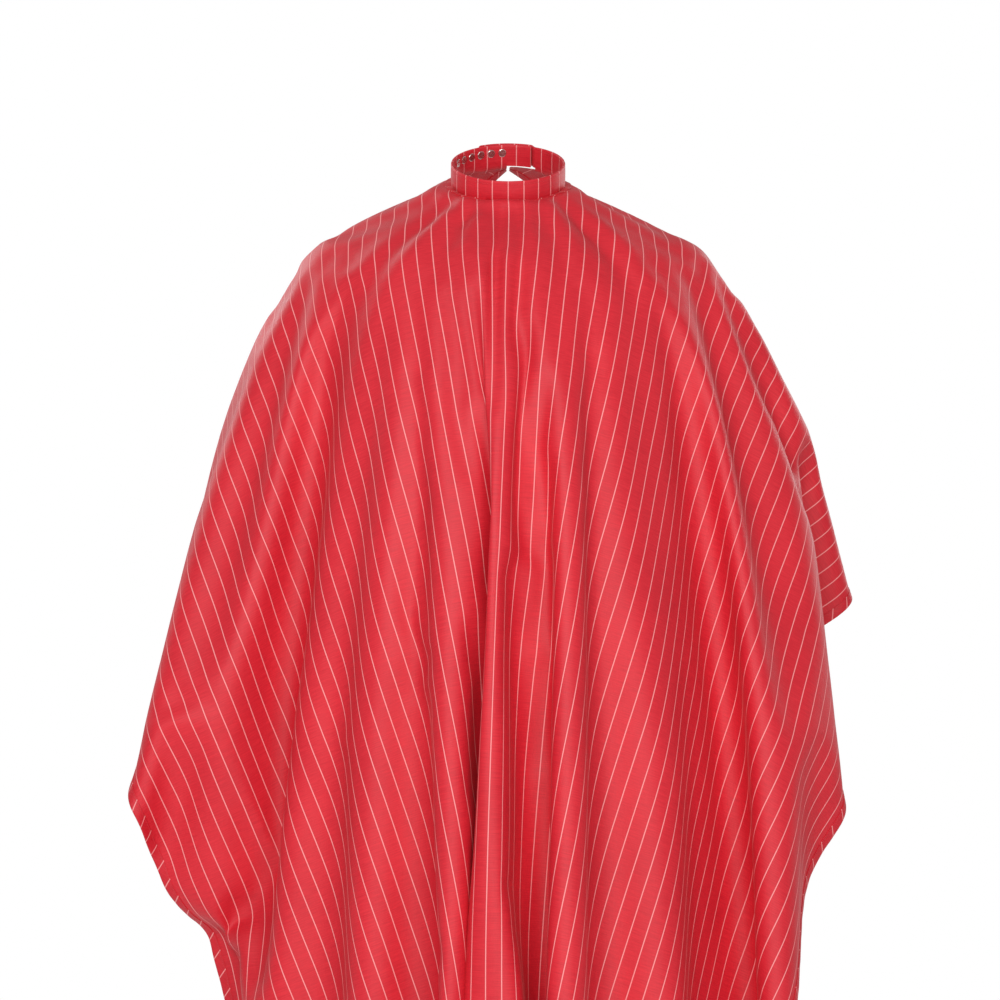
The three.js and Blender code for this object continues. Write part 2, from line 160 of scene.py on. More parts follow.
def tube_faces(loops, size, closed_ends=True):
    """The faces of a closed body through loops of size points each."""
    faces = []
    for i in range(loops - 1):
        for k in range(size):
            after = (k + 1) % size
            faces.append((i * size + k, i * size + after, (i + 1) * size + after, (i + 1) * size + k))
    if closed_ends:
        faces.append(tuple(reversed(range(size))))
        faces.append(tuple((loops - 1) * size + k for k in range(size)))
    return faces


def face_out(piece):
    mesh = bmesh.new()
    mesh.from_mesh(piece.data)
    bmesh.ops.recalc_face_normals(mesh, faces=mesh.faces)
    mesh.to_mesh(piece.data)
    mesh.free()


# ---------------------------------------------------------------- the flat cut and its drape

CELL = 0.0152  # of the simulated cloth
FRAMES = 110


def flat_cut():
    """The cut as a grid of cells: its flat points, its faces, and the points that the neckband holds."""
    columns = 2 * round(CLOTH_WIDTH / CELL / 2)
    rows = round(CLOTH_LENGTH / CELL)
    across = np.linspace(-HALF_WIDTH, HALF_WIDTH, columns + 1)
    along = np.linspace(BOTTOM_EDGE, NECK_TO_TOP_EDGE, rows + 1)
    points = [[x, y] for y in along for x in across]
    faces = []
    for j in range(rows):
        for i in range(columns):
            x = (across[i] + across[i + 1]) / 2
            y = (along[j] + along[j + 1]) / 2
            in_opening = y > 0 and abs(x) < y * OPENING_SLOPE
            if math.hypot(x, y) > NOTCH_RADIUS and not in_opening:
                a = j * (columns + 1) + i
                faces.append((a, a + 1, a + columns + 2, a + columns + 1))
    used = sorted({v for face in faces for v in face})
    number = {v: k for k, v in enumerate(used)}
    points = [points[v] for v in used]
    faces = [tuple(number[v] for v in face) for face in faces]
    return points, faces, neck_edge(points, faces)


def neck_edge(points, faces):
    """Moves the points round the hole onto its true outline, and lists those that the neckband holds."""
    edges = Counter(tuple(sorted(pair)) for face in faces for pair in zip(face, face[1:] + face[:1]))
    held = []
    for v in sorted({v for edge, count in edges.items() if count == 1 for v in edge}):
        x, y = points[v]
        at_top = y > NECK_TO_TOP_EDGE - 1e-6
        if not at_top and math.hypot(x, y) < NOTCH_RADIUS + 1.2 * CELL:
            limit = math.pi - OPENING_HALF_ANGLE
            ray = max(-limit, min(limit, math.atan2(x, -y)))
            points[v] = [NOTCH_RADIUS * math.sin(ray), -NOTCH_RADIUS * math.cos(ray)]
            held.append(v)
        elif at_top and abs(x) < NECK_TO_TOP_EDGE * OPENING_SLOPE:
            points[v] = [math.copysign(NECK_TO_TOP_EDGE * OPENING_SLOPE, x), y]
            held.append(v)
    return held


def as_cone(point):
    """Where a flat point lies when the cut is rolled, unstretched, into a cone below the neckline."""
    run = math.hypot(*point)
    turn = math.atan2(point[0], -point[1]) * CLOSING
    radius = run / CLOSING
    drop = (run - NOTCH_RADIUS) * math.sqrt(1 - 1 / CLOSING**2)
    return tilted(radius * math.sin(turn), -radius * math.cos(turn), -drop)


# The form that stands in for the wearer: height, half width, half depth and middle of the torso's sections.
TORSO = [
    (0.02, 0.05, 0.05, 0.0),
    (-0.02, 0.07, 0.062, 0.004),
    (-0.05, 0.115, 0.085, 0.004),
    (-0.075, 0.165, 0.105, 0.0),
    (-0.11, 0.195, 0.125, -0.005),
    (-0.20, 0.205, 0.15, -0.01),
    (-0.32, 0.21, 0.17, -0.015),
    (-0.48, 0.225, 0.185, -0.015),
    (-0.62, 0.245, 0.19, -0.012),
    (-0.85, 0.265, 0.18, -0.01),
    (-1.2, 0.29, 0.18, -0.01),
    (-1.5, 0.295, 0.18, -0.01),
]
TORSO_ROUNDNESS = 2.2  # the power of its superellipse
SHOULDER = (0.185, 0.01, -0.115)
ARMS = [
    (-1, SHOULDER, (0.318, 0.005, -0.40), (0.335, -0.08, -0.63)),
    (1, SHOULDER, (0.302, 0.005, -0.41), (0.325, -0.08, -0.64)),
]
SHOULDER_THICK, ELBOW_THICK, WRIST_THICK = 0.055, 0.043, 0.035
FORM_VOXEL = 0.02


def smooth_sections(sections, steps=4):
    """A Catmull-Rom curve through the sections."""
    known = np.array(sections)
    last = len(known) - 1
    made = []
    for i in range(last):
        a, b, c, d = known[max(i - 1, 0)], known[i], known[i + 1], known[min(i + 2, last)]
        for t in np.arange(steps) / steps:
            bend = (2 * a - 5 * b + 4 * c - d) * t**2 + (3 * b - a - 3 * c + d) * t**3
            made.append((2 * b + (c - a) * t + bend) / 2)
    return [*made, known[-1]]


def torso():
    sides = 48
    points = []
    for z, half_width, half_depth, middle in smooth_sections(TORSO):
        for turn in np.arange(sides) * 2 * math.pi / sides:
            c, s = math.cos(turn), math.sin(turn)
            x = half_width * math.copysign(abs(c) ** (2 / TORSO_ROUNDNESS), c)
            y = middle + half_depth * math.copysign(abs(s) ** (2 / TORSO_ROUNDNESS), s)
            points.append((x, y, z))
    return points, tube_faces(len(points) // sides, sides)


def limb(start, end, start_thick, end_thick):
    """A tapered tube with round ends."""
    sides, cap, middle = 20, 4, 10
    start, end = Vector(start), Vector(end)
    way = (end - start).normalized()
    length = (end - start).length
    side = way.orthogonal().normalized()
    other = way.cross(side)
    profile = []
    for k in range(cap + 1):
        turn = math.pi / 2 * (1 - k / cap)
        profile.append((-start_thick * math.sin(turn), start_thick * math.cos(turn)))
    for k in range(1, middle):
        profile.append((length * k / middle, start_thick + (end_thick - start_thick) * k / middle))
    for k in range(cap + 1):
        turn = math.pi / 2 * k / cap
        profile.append((length + end_thick * math.sin(turn), end_thick * math.cos(turn)))
    points = []
    for along, thick in profile:
        for turn in np.arange(sides) * 2 * math.pi / sides:
            out = side * math.cos(turn) + other * math.sin(turn)
            points.append(start + way * along + out * max(thick, 0.002))
    return points, tube_faces(len(profile), sides)


def wearer():
    points, faces = torso()
    for side, shoulder, elbow, wrist in ARMS:
        joints = [Vector((side * x, y, z)) for x, y, z in (shoulder, elbow, wrist)]
        for part in (
            limb(joints[0], joints[1], SHOULDER_THICK, ELBOW_THICK),
            limb(joints[1], joints[2], ELBOW_THICK, WRIST_THICK),
        ):
            base = len(points)
            points = points + part[0]
            faces = faces + [tuple(base + v for v in face) for face in part[1]]
    form = new_object("form", points, faces)
    face_out(form)
    remesh = form.modifiers.new("remesh", "REMESH")
    remesh.mode = "VOXEL"
    remesh.voxel_size = FORM_VOXEL
    soften = form.modifiers.new("soften", "SMOOTH")
    soften.iterations = 6
    form.data = evaluated_mesh(form)
    form.modifiers.clear()
    form.modifiers.new("collision", "COLLISION")
    form.collision.thickness_outer = 0.006
    form.collision.thickness_inner = 0.05
    form.collision.cloth_friction = 6
    form.collision.damping = 0.5
    return form


def drape(points, faces, held):
    """Lets the cut fall over the form, held by its neck edge, and returns the mesh it makes."""
    cloth = new_object("falling", [as_cone(p) for p in points], faces)
    set_uv(cloth, points)
    pin = cloth.vertex_groups.new(name="held")
    pin.add(held, 1.0, "REPLACE")
    cloth.shape_key_add(name="Basis")
    flat = cloth.shape_key_add(name="flat")
    for v, (x, y) in enumerate(points):
        flat.data[v].co = (x, y, 0)
    form = wearer()
    modifier = cloth.modifiers.new("Cloth", "CLOTH")
    fabric = modifier.settings
    fabric.rest_shape_key = flat
    fabric.vertex_group_mass = pin.name
    fabric.quality = 8
    fabric.mass = 0.06
    fabric.air_damping = 0.6
    fabric.tension_stiffness = 100
    fabric.compression_stiffness = 60
    fabric.shear_stiffness = 10
    fabric.bending_stiffness = 1.3
    fabric.tension_damping = fabric.compression_damping = fabric.shear_damping = 10
    fabric.bending_damping = 0.5
    modifier.collision_settings.collision_quality = 2
    modifier.collision_settings.distance_min = 0.004
    modifier.point_cache.frame_end = FRAMES
    for step in range(1, FRAMES + 1):
        scene.frame_set(step)
    fallen = evaluated_mesh(cloth)
    for done in (cloth, form):
        bpy.data.objects.remove(done)
    scene.frame_set(1)
    return fallen


# ---------------------------------------------------------------- the panel

SUBDIVISIONS = 2
CREASE_DEPTH = 0.0007
CREASE_SIZE = 0.055
PUCKER_DEPTH = 0.0005  # along the sewn edges
PUCKER_PITCH = 0.014
PUCKER_REACH = 0.03
GATHER_START = 0.012  # outside the neckline
# The creases that run down from the neckline: ray in degrees from the front, length, depth and half width.
GATHERS = [
    (-44, 0.36, 0.009, 0.015),
    (-24, 0.24, 0.006, 0.012),
    (-4, 0.32, 0.009, 0.010),
    (4.5, 0.26, 0.008, 0.009),
    (20, 0.28, 0.006, 0.012),
    (38, 0.38, 0.010, 0.015),
]


def from_edge(x, y):
    """How far a flat point lies inside the nearest sewn edge."""
    straight = min(HALF_WIDTH - abs(x), y - BOTTOM_EDGE, NECK_TO_TOP_EDGE - y)
    return min(straight, math.hypot(x, y) - NOTCH_RADIUS)


def gathers(x, y):
    """How deep the neckline's creases are at a flat point. Each is a valley with a lower ridge beside it."""
    run = math.hypot(x, y)
    past = max(0, run - NOTCH_RADIUS - GATHER_START)
    depth = 0
    for ray, length, deep, half in GATHERS:
        share = past / length
        if share < 1:
            aside = (math.atan2(x, -y) - math.radians(ray)) * run / (half * (0.7 + share))
            shape = math.exp(-(aside**2)) - 0.5 * math.exp(-((aside - 1.8) ** 2))
            depth += deep * min(1, share * 6) * (1 - share) ** 1.5 * shape
    return depth


def cape_panel(fallen):
    """The draped cloth, made finer, with the small creases and sewing puckers that its cells can't hold."""
    panel = bpy.data.objects.new("cape_cloth", fallen)
    scene.collection.objects.link(panel)
    finer = panel.modifiers.new("finer", "SUBSURF")
    finer.levels = finer.render_levels = SUBDIVISIONS
    finer.uv_smooth = "NONE"
    finer.boundary_smooth = "PRESERVE_CORNERS"
    panel.data = evaluated_mesh(panel)
    panel.modifiers.clear()
    flat = flat_places(panel.data)
    normals = [v.normal.copy() for v in panel.data.vertices]
    for vertex, (x, y), normal in zip(panel.data.vertices, flat, normals):
        inside = from_edge(x, y)
        crease = noise.noise(Vector((x, y * 0.45, 0)) / CREASE_SIZE) * CREASE_DEPTH
        beside = math.exp(-max(inside, 0) / PUCKER_REACH)
        pucker = noise.noise(Vector((x, y, 3)) / PUCKER_PITCH) * PUCKER_DEPTH * beside
        vertex.co += normal * (crease * min(1, max(inside, 0) / 0.02) + pucker - gathers(x, y))
    shade_smooth(panel)
    return panel


def flat_places(mesh):
    flat = [None] * len(mesh.vertices)
    layer = mesh.uv_layers["flat"].data
    for loop in mesh.loops:
        flat[loop.vertex_index] = tuple(layer[loop.index].uv)
    return flat


class Draped:
    """Finds the place and the outward direction of any flat point on the draped cloth."""

    def __init__(self, panel):
        mesh = panel.data
        self.flat = [Vector((x, y, 0)) for x, y in flat_places(mesh)]
        self.places = [v.co.copy() for v in mesh.vertices]
        self.normals = [v.normal.copy() for v in mesh.vertices]
        mesh.calc_loop_triangles()
        self.triangles = [tuple(t.vertices) for t in mesh.loop_triangles]
        self.tree = BVHTree.FromPolygons(self.flat, self.triangles)

    def at(self, x, y):
        """The place and the outward direction at a flat point."""
        found, _, index, _ = self.tree.find_nearest(Vector((x, y, 0)))
        corners = self.triangles[index]
        flat = [self.flat[v] for v in corners]
        place = geometry.barycentric_transform(found, *flat, *(self.places[v] for v in corners))
        normal = geometry.barycentric_transform(found, *flat, *(self.normals[v] for v in corners))
        return place, normal.normalized()


# ---------------------------------------------------------------- the bound edge

BINDING_STEP = 0.004
BINDING_HALF = 0.0010
# A folded strip round the edge, from its turned-in lip on the outside to the one underneath: how far in
# from the edge, and how far off the cloth in shares of BINDING_HALF.
BINDING_SKIN = [
    (0.0100, 0.15),
    (0.0102, 0.55),
    (0.0098, 0.85),
    (0.0086, 0.70),
    (0.0070, 0.95),
    (0.0045, 1.05),
    (0.0015, 1.10),
    (-0.0002, 0.95),
    (-0.0009, 0.50),
]
BINDING_SECTION = [*BINDING_SKIN, (-0.0011, 0.0), *((d, -n) for d, n in reversed(BINDING_SKIN))]
BIAS = math.radians(52)  # between the strip and the cloth's stripes


def top_side(side):
    opening = NECK_TO_TOP_EDGE * OPENING_SLOPE
    return lambda s, inside: (side * s, NECK_TO_TOP_EDGE - inside), opening, HALF_WIDTH, (False, True)


def long_side(side):
    return lambda s, inside: (side * (HALF_WIDTH - inside), s), BOTTOM_EDGE, NECK_TO_TOP_EDGE, (True, True)


def bottom_side():
    return lambda s, inside: (s, BOTTOM_EDGE + inside), -HALF_WIDTH, HALF_WIDTH, (True, True)


BINDINGS = {
    "top_binding_right": top_side(-1),
    "side_binding_right": long_side(-1),
    "bottom_binding": bottom_side(),
    "side_binding_left": long_side(1),
    "top_binding_left": top_side(1),
}


def on_the_bias(along, across):
    c, s = math.cos(BIAS), math.sin(BIAS)
    return along * s + across * c, along * c - across * s


def binding(name, edge, cloth):
    """A strip over one edge of the cut, mitred where it meets the next one."""
    flat_at, start, end, mitred = edge
    count = round((end - start) / BINDING_STEP)
    points, uvs = [], []
    for station in range(count + 1):
        share = station / count
        for inside, off in BINDING_SECTION:
            low = start + (max(inside, 0) if mitred[0] else 0)
            high = end - (max(inside, 0) if mitred[1] else 0)
            s = low + (high - low) * share
            place, normal = cloth.at(*flat_at(s, max(inside, 0)))
            if inside < 0:
                further, _ = cloth.at(*flat_at(s, 0.003))
                place = place + (place - further).normalized() * -inside
            puff = 1 + 0.10 * noise.noise(Vector((s, off * 0.01, start)) / 0.012)
            points.append(place + normal * off * BINDING_HALF * puff)
            across = math.copysign(BINDING_WIDTH - inside, off)
            uvs.append(on_the_bias(s, across))
    piece = new_object(name + "_cloth", points, tube_faces(count + 1, len(BINDING_SECTION)))
    set_uv(piece, uvs)
    face_out(piece)
    shade_smooth(piece, 60)
    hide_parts(name)
    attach(piece, "cape")
    return piece


# ---------------------------------------------------------------- the neckband and its tab

BAND_TOP = 0.0273
BAND_END = 150.0  # degrees round from the front, where the tab is joined on
UNDERLAP_END = -204.5
TAB_END = 209.0
TAB_STEP_ANGLE = 7.5
BAND_STEP = 1.5
# Half of the band's section, from its lip on the panel to the top fold. "on" points lie on the panel, a
# distance from the neck edge; "up" points stand over the neckline at a height. Both end with their offset.
BAND_SKIN = [
    ("on", 0.0088, 0.0003),
    ("on", 0.0091, 0.0009),
    ("on", 0.0084, 0.0012),
    ("on", 0.0072, 0.0009),
    ("on", 0.0045, 0.0014),
    ("on", 0.0016, 0.0016),
    ("up", 0.0028, 0.0014),
    ("up", 0.0080, 0.0014),
    ("up", 0.0140, 0.0015),
    ("up", 0.0200, 0.0014),
    ("up", 0.0232, 0.0011),
    ("up", 0.0258, 0.0013),
    ("up", 0.0270, 0.0008),
]
BAND_INNER_SKIN = [(kind, at, -off) for kind, at, off in reversed(BAND_SKIN)]
BAND_SECTION = [*BAND_SKIN, ("up", BAND_TOP, 0.0), *BAND_INNER_SKIN]


def band_point(kind, at, off, angle, cloth):
    if kind == "up":
        return round_neck(angle, off, at)
    if abs(angle) > NECK_EDGE_END:
        return round_neck(angle, off, 0.0016)
    ray = math.radians(angle) / CLOSING
    run = NOTCH_RADIUS + at
    place, normal = cloth.at(run * math.sin(ray), -run * math.cos(ray))
    return place + normal * off


def stations(start, end, step, extra=()):
    count = math.ceil((end - start) / step)
    return sorted({*np.linspace(start, end, count + 1), *extra})


def section_length(section):
    """How far along the strip's own width each point of its section lies."""
    flat = [(at if kind == "up" else -at, off) for kind, at, off in section]
    steps = [math.dist(a, b) for a, b in zip(flat, flat[1:])]
    return [0, *np.cumsum(steps)]


def neckband(cloth):
    angles = stations(UNDERLAP_END, BAND_END, BAND_STEP, (-NECK_EDGE_END, -NECK_EDGE_END - 0.15))
    across = section_length(BAND_SECTION)
    points, uvs = [], []
    for angle in angles:
        for (kind, at, off), width in zip(BAND_SECTION, across):
            puff = 1 + 0.07 * noise.noise(Vector((angle * 0.14, off * 300, 0)))
            points.append(band_point(kind, at, off * puff, angle, cloth))
            uvs.append((RING_RADIUS * math.radians(angle), width))
    piece = new_object("neckband_cloth", points, tube_faces(len(angles), len(BAND_SECTION)))
    set_uv(piece, uvs)
    return finished_band(piece, "neckband", "cape")


def finished_band(piece, node, body):
    face_out(piece)
    shade_smooth(piece, 60)
    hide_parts(node)
    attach(piece, body)
    return piece


TAB_ROOT = 150.4
TAB_STEP = 0.0058  # out over the underlap and its studs
TAB_CORNER_ANGLE = 2.4
TAB_SKIN = [
    (0.0019, 0.0009),
    (0.0036, 0.0013),
    (0.0052, 0.0010),
    (0.0080, 0.0014),
    (0.0140, 0.0015),
    (0.0200, 0.0014),
    (0.0232, 0.0011),
    (0.0258, 0.0013),
    (0.0270, 0.0008),
]
TAB_SECTION = [(0.0016, 0.0), *TAB_SKIN, (BAND_TOP, 0.0), *((at, -off) for at, off in reversed(TAB_SKIN))]


def tab_point(angle, height, off):
    share = min(1, max(0, (angle - TAB_ROOT) / TAB_STEP_ANGLE))
    step = TAB_STEP * share * share * (3 - 2 * share)
    past = max(0, (angle - (TAB_END - TAB_CORNER_ANGLE)) / TAB_CORNER_ANGLE)
    corner = math.radians(TAB_CORNER_ANGLE) * (RING_RADIUS + TAB_STEP)
    middle = BAND_TOP / 2
    half = middle - corner * (1 - math.sqrt(max(0, 1 - past * past)))
    return round_neck(angle, step + off, middle + (height - middle) * half / middle)


def blended_tab(piece):
    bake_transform(piece)


def closure_tab():
    angles = stations(TAB_ROOT - 0.3, TAB_END, 1.0, (TAB_END - 0.6, TAB_END - 0.2))
    across = [0, *np.cumsum([math.dist(a, b) for a, b in zip(TAB_SECTION, TAB_SECTION[1:])])]
    points, uvs = [], []
    for angle in angles:
        for (height, off), width in zip(TAB_SECTION, across):
            points.append(tab_point(angle, height, off))
            uvs.append(((RING_RADIUS + TAB_STEP) * math.radians(angle), width))
    piece = new_object("closure_tab_cloth", points, tube_faces(len(angles), len(TAB_SECTION)))
    set_uv(piece, uvs)
    face_out(piece)
    shade_smooth(piece, 60)
    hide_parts("closure_tab")
    blended_tab(piece)
    return piece


# ---------------------------------------------------------------- stitching

STITCH_PITCH = 0.003
STITCH_SHARE = 0.76  # of the pitch that shows as thread
STITCH_RADIUS = 0.00022
STITCH_SIDES = 5
STITCH_RINGS = [(0.16, 0.75), (0.5, 1.0), (0.84, 0.75)]  # place along the stitch and share of the radius


def stitches(name, rows):
    """Short lengths of thread. Each row is a list of (place, normal), one for the start of each stitch."""
    points, faces = [], []
    for row in rows:
        for (here, normal), (after, _) in zip(row, row[1:]):
            add_stitch(points, faces, here, here.lerp(after, STITCH_SHARE), normal)
    piece = new_object(name, points, faces)
    face_out(piece)
    shade_smooth(piece)
    return piece


def add_stitch(points, faces, start, end, normal):
    base = len(points)
    side = (end - start).cross(normal).normalized()
    points.append(start - normal * STITCH_RADIUS)
    for along, share in STITCH_RINGS:
        for turn in np.arange(STITCH_SIDES) * 2 * math.pi / STITCH_SIDES:
            out = side * math.cos(turn) + normal * math.sin(turn)
            points.append(start.lerp(end, along) + out * share * STITCH_RADIUS)
    points.append(end - normal * STITCH_RADIUS)
    last = base + 1 + len(STITCH_RINGS) * STITCH_SIDES
    for k in range(STITCH_SIDES):
        after = (k + 1) % STITCH_SIDES
        faces.append((base, base + 1 + k, base + 1 + after))
        for ring in range(len(STITCH_RINGS) - 1):
            a = base + 1 + ring * STITCH_SIDES
            faces.append((a + k, a + after, a + STITCH_SIDES + after, a + STITCH_SIDES + k))
        a = last - STITCH_SIDES
        faces.append((last, a + after, a + k))


BINDING_SEAM = 0.0086  # in from the edge
BINDING_SEAM_OFF = 0.00078


def binding_seams(cloth):
    rows = []
    for flat_at, start, end, mitred in BINDINGS.values():
        low = start + BINDING_SEAM * mitred[0]
        high = end - BINDING_SEAM * mitred[1]
        for side in (1, -1):
            row = []
            for s in np.arange(low, high, STITCH_PITCH):
                place, normal = cloth.at(*flat_at(s, BINDING_SEAM))
                row.append((place + normal * side * BINDING_SEAM_OFF, normal * side))
            rows.append(row)
    piece = stitches("binding_stitches", rows)
    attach(piece, "cape")
    return piece


BAND_SEAMS = [("on", 0.0072, 0.0010), ("up", 0.0232, 0.0012)]
BAND_SEAM_MARGIN = 1.5  # degrees short of the band's ends


def band_row(start, end, point_at, off):
    """A seam round the neck on one face: point_at gives the point at an angle and an offset."""
    pitch = math.degrees(STITCH_PITCH / RING_RADIUS)
    row = []
    for angle in np.arange(start, end, pitch):
        place = point_at(angle, off)
        row.append((place, (place - point_at(angle, 0)).normalized()))
    return row


def band_seams(cloth):
    rows = []
    for kind, at, off in BAND_SEAMS:
        start = -NECK_EDGE_END if kind == "on" else UNDERLAP_END

        def point_at(angle, off, kind=kind, at=at):
            return band_point(kind, at, off, angle, cloth)

        for side in (1, -1):
            row = band_row(start + BAND_SEAM_MARGIN, BAND_END - BAND_SEAM_MARGIN, point_at, off * side)
            rows.append(row)
    piece = stitches("neckband_stitches", rows)
    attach(piece, "cape")
    return piece


TAB_SEAM_HEIGHTS = (0.0052, 0.0232)
TAB_SEAM_OFF = 0.0011
TAB_END_SEAM = TAB_END - 2.2


def tab_seams():
    rows = []
    for side in (1, -1):
        off = TAB_SEAM_OFF * side
        for seam_height in TAB_SEAM_HEIGHTS:

            def point_at(angle, off, height=seam_height):
                return tab_point(angle, height, off)

            rows.append(band_row(TAB_ROOT + BAND_SEAM_MARGIN, TAB_END_SEAM, point_at, off))
        upright = []
        for height in np.arange(TAB_SEAM_HEIGHTS[0], TAB_SEAM_HEIGHTS[1], STITCH_PITCH):
            place = tab_point(TAB_END_SEAM, height, off)
            upright.append((place, (place - tab_point(TAB_END_SEAM, height, 0)).normalized()))
        rows.append(upright)
    piece = stitches("closure_tab_stitches", rows)
    blended_tab(piece)
    return piece


# ---------------------------------------------------------------- materials


class Nodes:
    """A material's node tree, with short ways to add to it."""

    def __init__(self, name):
        self.material = bpy.data.materials.new(name)
        self.material.use_nodes = True
        self.tree = self.material.node_tree
        self.shader = self.tree.nodes["Principled BSDF"]

    def add(self, kind, **inputs):
        node = self.tree.nodes.new(kind)
        for name, value in inputs.items():
            self.put(node.inputs[name.replace("_", " ")], value)
        return node

    def put(self, socket, value):
        if isinstance(value, bpy.types.NodeSocket):
            self.tree.links.new(value, socket)
        else:
            socket.default_value = value

    def math(self, operation, a, b=0.0, c=0.0):
        node = self.tree.nodes.new("ShaderNodeMath")
        node.operation = operation
        for socket, value in zip(node.inputs, (a, b, c)):
            self.put(socket, value)
        return node.outputs[0]

    def ramp(self, value, from_low, from_high, to_low=0.0, to_high=1.0, smooth=False):
        node = self.tree.nodes.new("ShaderNodeMapRange")
        node.interpolation_type = "SMOOTHSTEP" if smooth else "LINEAR"
        for socket, setting in zip(node.inputs, (value, from_low, from_high, to_low, to_high)):
            self.put(socket, setting)
        return node.outputs[0]

    def mix(self, share, first, second):
        node = self.tree.nodes.new("ShaderNodeMix")
        node.data_type = "RGBA"
        self.put(node.inputs[0], share)
        self.put(node.inputs[6], first)
        self.put(node.inputs[7], second)
        return node.outputs[2]

    def noise(self, place, scale, detail=3.0, stretch=(1, 1, 1)):
        mapping = self.tree.nodes.new("ShaderNodeMapping")
        mapping.inputs["Scale"].default_value = stretch
        self.put(mapping.inputs["Vector"], place)
        return self.add("ShaderNodeTexNoise", Vector=mapping.outputs[0], Scale=scale, Detail=detail).outputs[0]

    def bump(self, height, distance, strength=1.0):
        node = self.add("ShaderNodeBump", Height=height, Distance=distance, Strength=strength)
        self.put(self.shader.inputs["Normal"], node.outputs[0])

    def finish(self, **inputs):
        for name, value in inputs.items():
            self.put(self.shader.inputs[name.replace("_", " ")], value)
        return self.material


THREAD_PITCH = 0.00055  # of the weave


def striped_cloth(name, deep, bright):
    """Plain-woven polyester satin: red, with a thin pale stripe woven in along the cloth's length."""
    nodes = Nodes(name)
    flat = nodes.add("ShaderNodeUVMap")
    flat.uv_map = "flat"
    place = flat.outputs[0]
    split = nodes.add("ShaderNodeSeparateXYZ", Vector=place)
    across, along = split.outputs[0], split.outputs[1]
    wander = nodes.ramp(nodes.noise(place, 14.0, 1.0, (4, 1, 1)), 0, 1, -0.0003, 0.0003)
    from_stripe = nodes.math("PINGPONG", nodes.math("ADD", across, wander), STRIPE_PITCH / 2)
    soft = 0.00022
    stripe = nodes.ramp(from_stripe, STRIPE_WIDTH / 2 + soft, STRIPE_WIDTH / 2 - soft, smooth=True)
    turns = 2 * math.pi / THREAD_PITCH
    warp = nodes.math("SINE", nodes.math("MULTIPLY", across, turns))
    weft = nodes.math("SINE", nodes.math("MULTIPLY", along, turns))
    weave = nodes.math("MULTIPLY", warp, weft)
    slub = nodes.noise(place, 100.0, 3.0, (0.5, 9, 1))
    cloudy = nodes.noise(place, 9.0, 4.0)
    picked = nodes.math("MULTIPLY", stripe, nodes.ramp(weave, -1, 1, 0.72, 0.95))
    tone = nodes.ramp(nodes.math("ADD", slub, nodes.math("MULTIPLY", cloudy, 0.6)), 0.5, 1.15, smooth=True)
    ground = nodes.mix(tone, deep, bright)
    colour = nodes.mix(picked, ground, (0.92, 0.36, 0.36, 1))
    rough = nodes.math("ADD", nodes.ramp(slub, 0.3, 0.7, 0.40, 0.52), nodes.math("MULTIPLY", stripe, 0.12))
    raised = nodes.math("ADD", nodes.math("MULTIPLY", stripe, 0.8), nodes.math("MULTIPLY", slub, 1.2))
    nodes.bump(nodes.math("ADD", nodes.math("MULTIPLY", weave, 0.35), raised), 0.00008, 0.7)
    return nodes.finish(
        Base_Color=colour,
        Roughness=rough,
        Specular_IOR_Level=0.35,
        Sheen_Weight=0.06,
        Sheen_Roughness=0.35,
        Sheen_Tint=(1.0, 0.62, 0.60, 1),
    )


def sewing_thread():
    nodes = Nodes("sewing_thread")
    place = nodes.add("ShaderNodeTexCoord").outputs["Object"]
    fuzz = nodes.noise(place, 2600.0, 2.0)
    colour = nodes.mix(fuzz, (0.42, 0.012, 0.022, 1), (0.66, 0.05, 0.06, 1))
    nodes.bump(fuzz, 0.00006, 0.6)
    return nodes.finish(Base_Color=colour, Roughness=nodes.ramp(fuzz, 0, 1, 0.45, 0.7), Sheen_Weight=0.2)


def felt():
    nodes = Nodes("felt")
    place = nodes.add("ShaderNodeTexCoord").outputs["Object"]
    fibres = nodes.noise(place, 900.0, 6.0, (1, 1, 3))
    colour = nodes.mix(fibres, (0.72, 0.70, 0.66, 1), (0.90, 0.89, 0.86, 1))
    nodes.bump(fibres, 0.0002, 0.8)
    return nodes.finish(Base_Color=colour, Roughness=nodes.ramp(fibres, 0, 1, 0.85, 1.0))


def nickel():
    nodes = Nodes("nickel")
    place = nodes.add("ShaderNodeTexCoord").outputs["Object"]
    brushed = nodes.noise(place, 1400.0, 4.0, (1, 1, 7))
    worn = nodes.noise(place, 220.0, 3.0)
    colour = nodes.mix(worn, (0.66, 0.64, 0.60, 1), (0.83, 0.82, 0.79, 1))
    nodes.bump(brushed, 0.00003, 0.5)
    rough = nodes.math("ADD", nodes.ramp(brushed, 0.3, 0.7, 0.14, 0.24), nodes.math("MULTIPLY", worn, 0.14))
    return nodes.finish(Base_Color=colour, Roughness=rough, Metallic=1.0)


def studio_floor():
    nodes = Nodes("studio_floor")
    place = nodes.add("ShaderNodeTexCoord").outputs["Object"]
    clouds = nodes.noise(place, 3.0, 4.0)
    colour = nodes.mix(clouds, (0.80, 0.80, 0.80, 1), (0.86, 0.86, 0.86, 1))
    return nodes.finish(Base_Color=colour, Roughness=nodes.ramp(clouds, 0, 1, 0.55, 0.75))


def dress(piece, material):
    piece.data.materials.clear()
    piece.data.materials.append(material)


# ---------------------------------------------------------------- floor and light

FLOOR_DROP = 0.09  # below the CAD model's lowest point
FLOOR_SIZE = 6.4


def add_floor():
    z = CAD_LOW.z - FLOOR_DROP
    half = FLOOR_SIZE / 2
    corners = [(x, y, z) for x, y in ((-half, -half), (half, -half), (half, half), (-half, half))]
    floor = new_object("floor", corners, [(0, 1, 2, 3)])
    dress(floor, studio_floor())


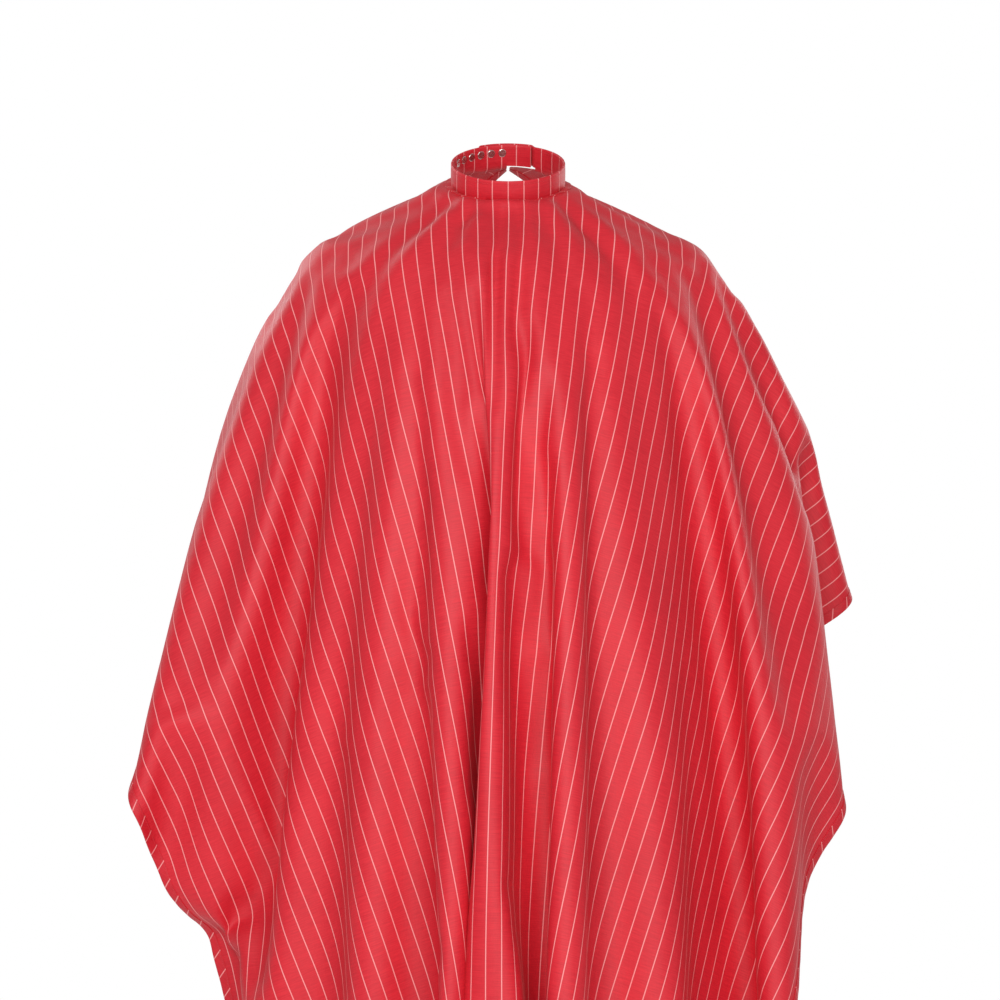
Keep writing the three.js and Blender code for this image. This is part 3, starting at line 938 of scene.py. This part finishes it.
def area_light(name, place, aim, size, power):
    data = bpy.data.lights.new(name, "AREA")
    data.size = size
    data.energy = power
    light = bpy.data.objects.new(name, data)
    light.location = place
    light.rotation_euler = (Vector(aim) - Vector(place)).to_track_quat("-Z", "Y").to_euler()
    scene.collection.objects.link(light)


def add_light():
    world = bpy.data.worlds.new("studio")
    world.use_nodes = True
    tree = world.node_tree
    sky = tree.nodes["Background"]
    sky.inputs["Color"].default_value = (1, 1, 1, 1)
    sky.inputs["Strength"].default_value = 0.38
    seen = tree.nodes.new("ShaderNodeBackground")
    seen.inputs["Color"].default_value = (1, 1, 1, 1)
    seen.inputs["Strength"].default_value = 1.0
    rays = tree.nodes.new("ShaderNodeLightPath")
    choice = tree.nodes.new("ShaderNodeMixShader")
    tree.links.new(rays.outputs["Is Camera Ray"], choice.inputs[0])
    tree.links.new(sky.outputs[0], choice.inputs[1])
    tree.links.new(seen.outputs[0], choice.inputs[2])
    tree.links.new(choice.outputs[0], tree.nodes["World Output"].inputs["Surface"])
    scene.world = world
    scene.view_settings.view_transform = "Standard"
    middle = (0, 0, -0.6)
    area_light("key", (-0.9, -3.2, 0.8), middle, 1.3, 55)
    area_light("fill", (1.0, -3.2, -0.3), middle, 1.8, 32)
    area_light("back_left", (-2.2, 2.2, 1.2), middle, 1.8, 34)
    area_light("back_right", (2.2, 2.2, 0.6), middle, 1.8, 30)


# ---------------------------------------------------------------- the cape

flat_points, flat_faces, held_points = flat_cut()
panel = cape_panel(drape(flat_points, flat_faces, held_points))
cloth = Draped(panel)
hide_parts("cape_panel")
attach(panel, "cape")
bindings = [binding(name, edge, cloth) for name, edge in BINDINGS.items()]
band = neckband(cloth)
tab = closure_tab()
seams = [binding_seams(cloth), band_seams(cloth), tab_seams()]

body_cloth = striped_cloth("striped_cloth", (0.58, 0.013, 0.026, 1), (0.72, 0.022, 0.037, 1))
for piece in (panel, band, tab):
    dress(piece, body_cloth)
bias_cloth = striped_cloth("bias_cloth", (0.54, 0.011, 0.023, 1), (0.67, 0.019, 0.033, 1))
for piece in bindings:
    dress(piece, bias_cloth)
thread = sewing_thread()
for piece in seams:
    dress(piece, thread)
interfacing, metal = felt(), nickel()
for name, node in frame["nodes"].items():
    if name.startswith("snap_"):
        dress(node, metal)
    elif name.endswith("interfacing"):
        dress(node, interfacing)

add_floor()
add_light()
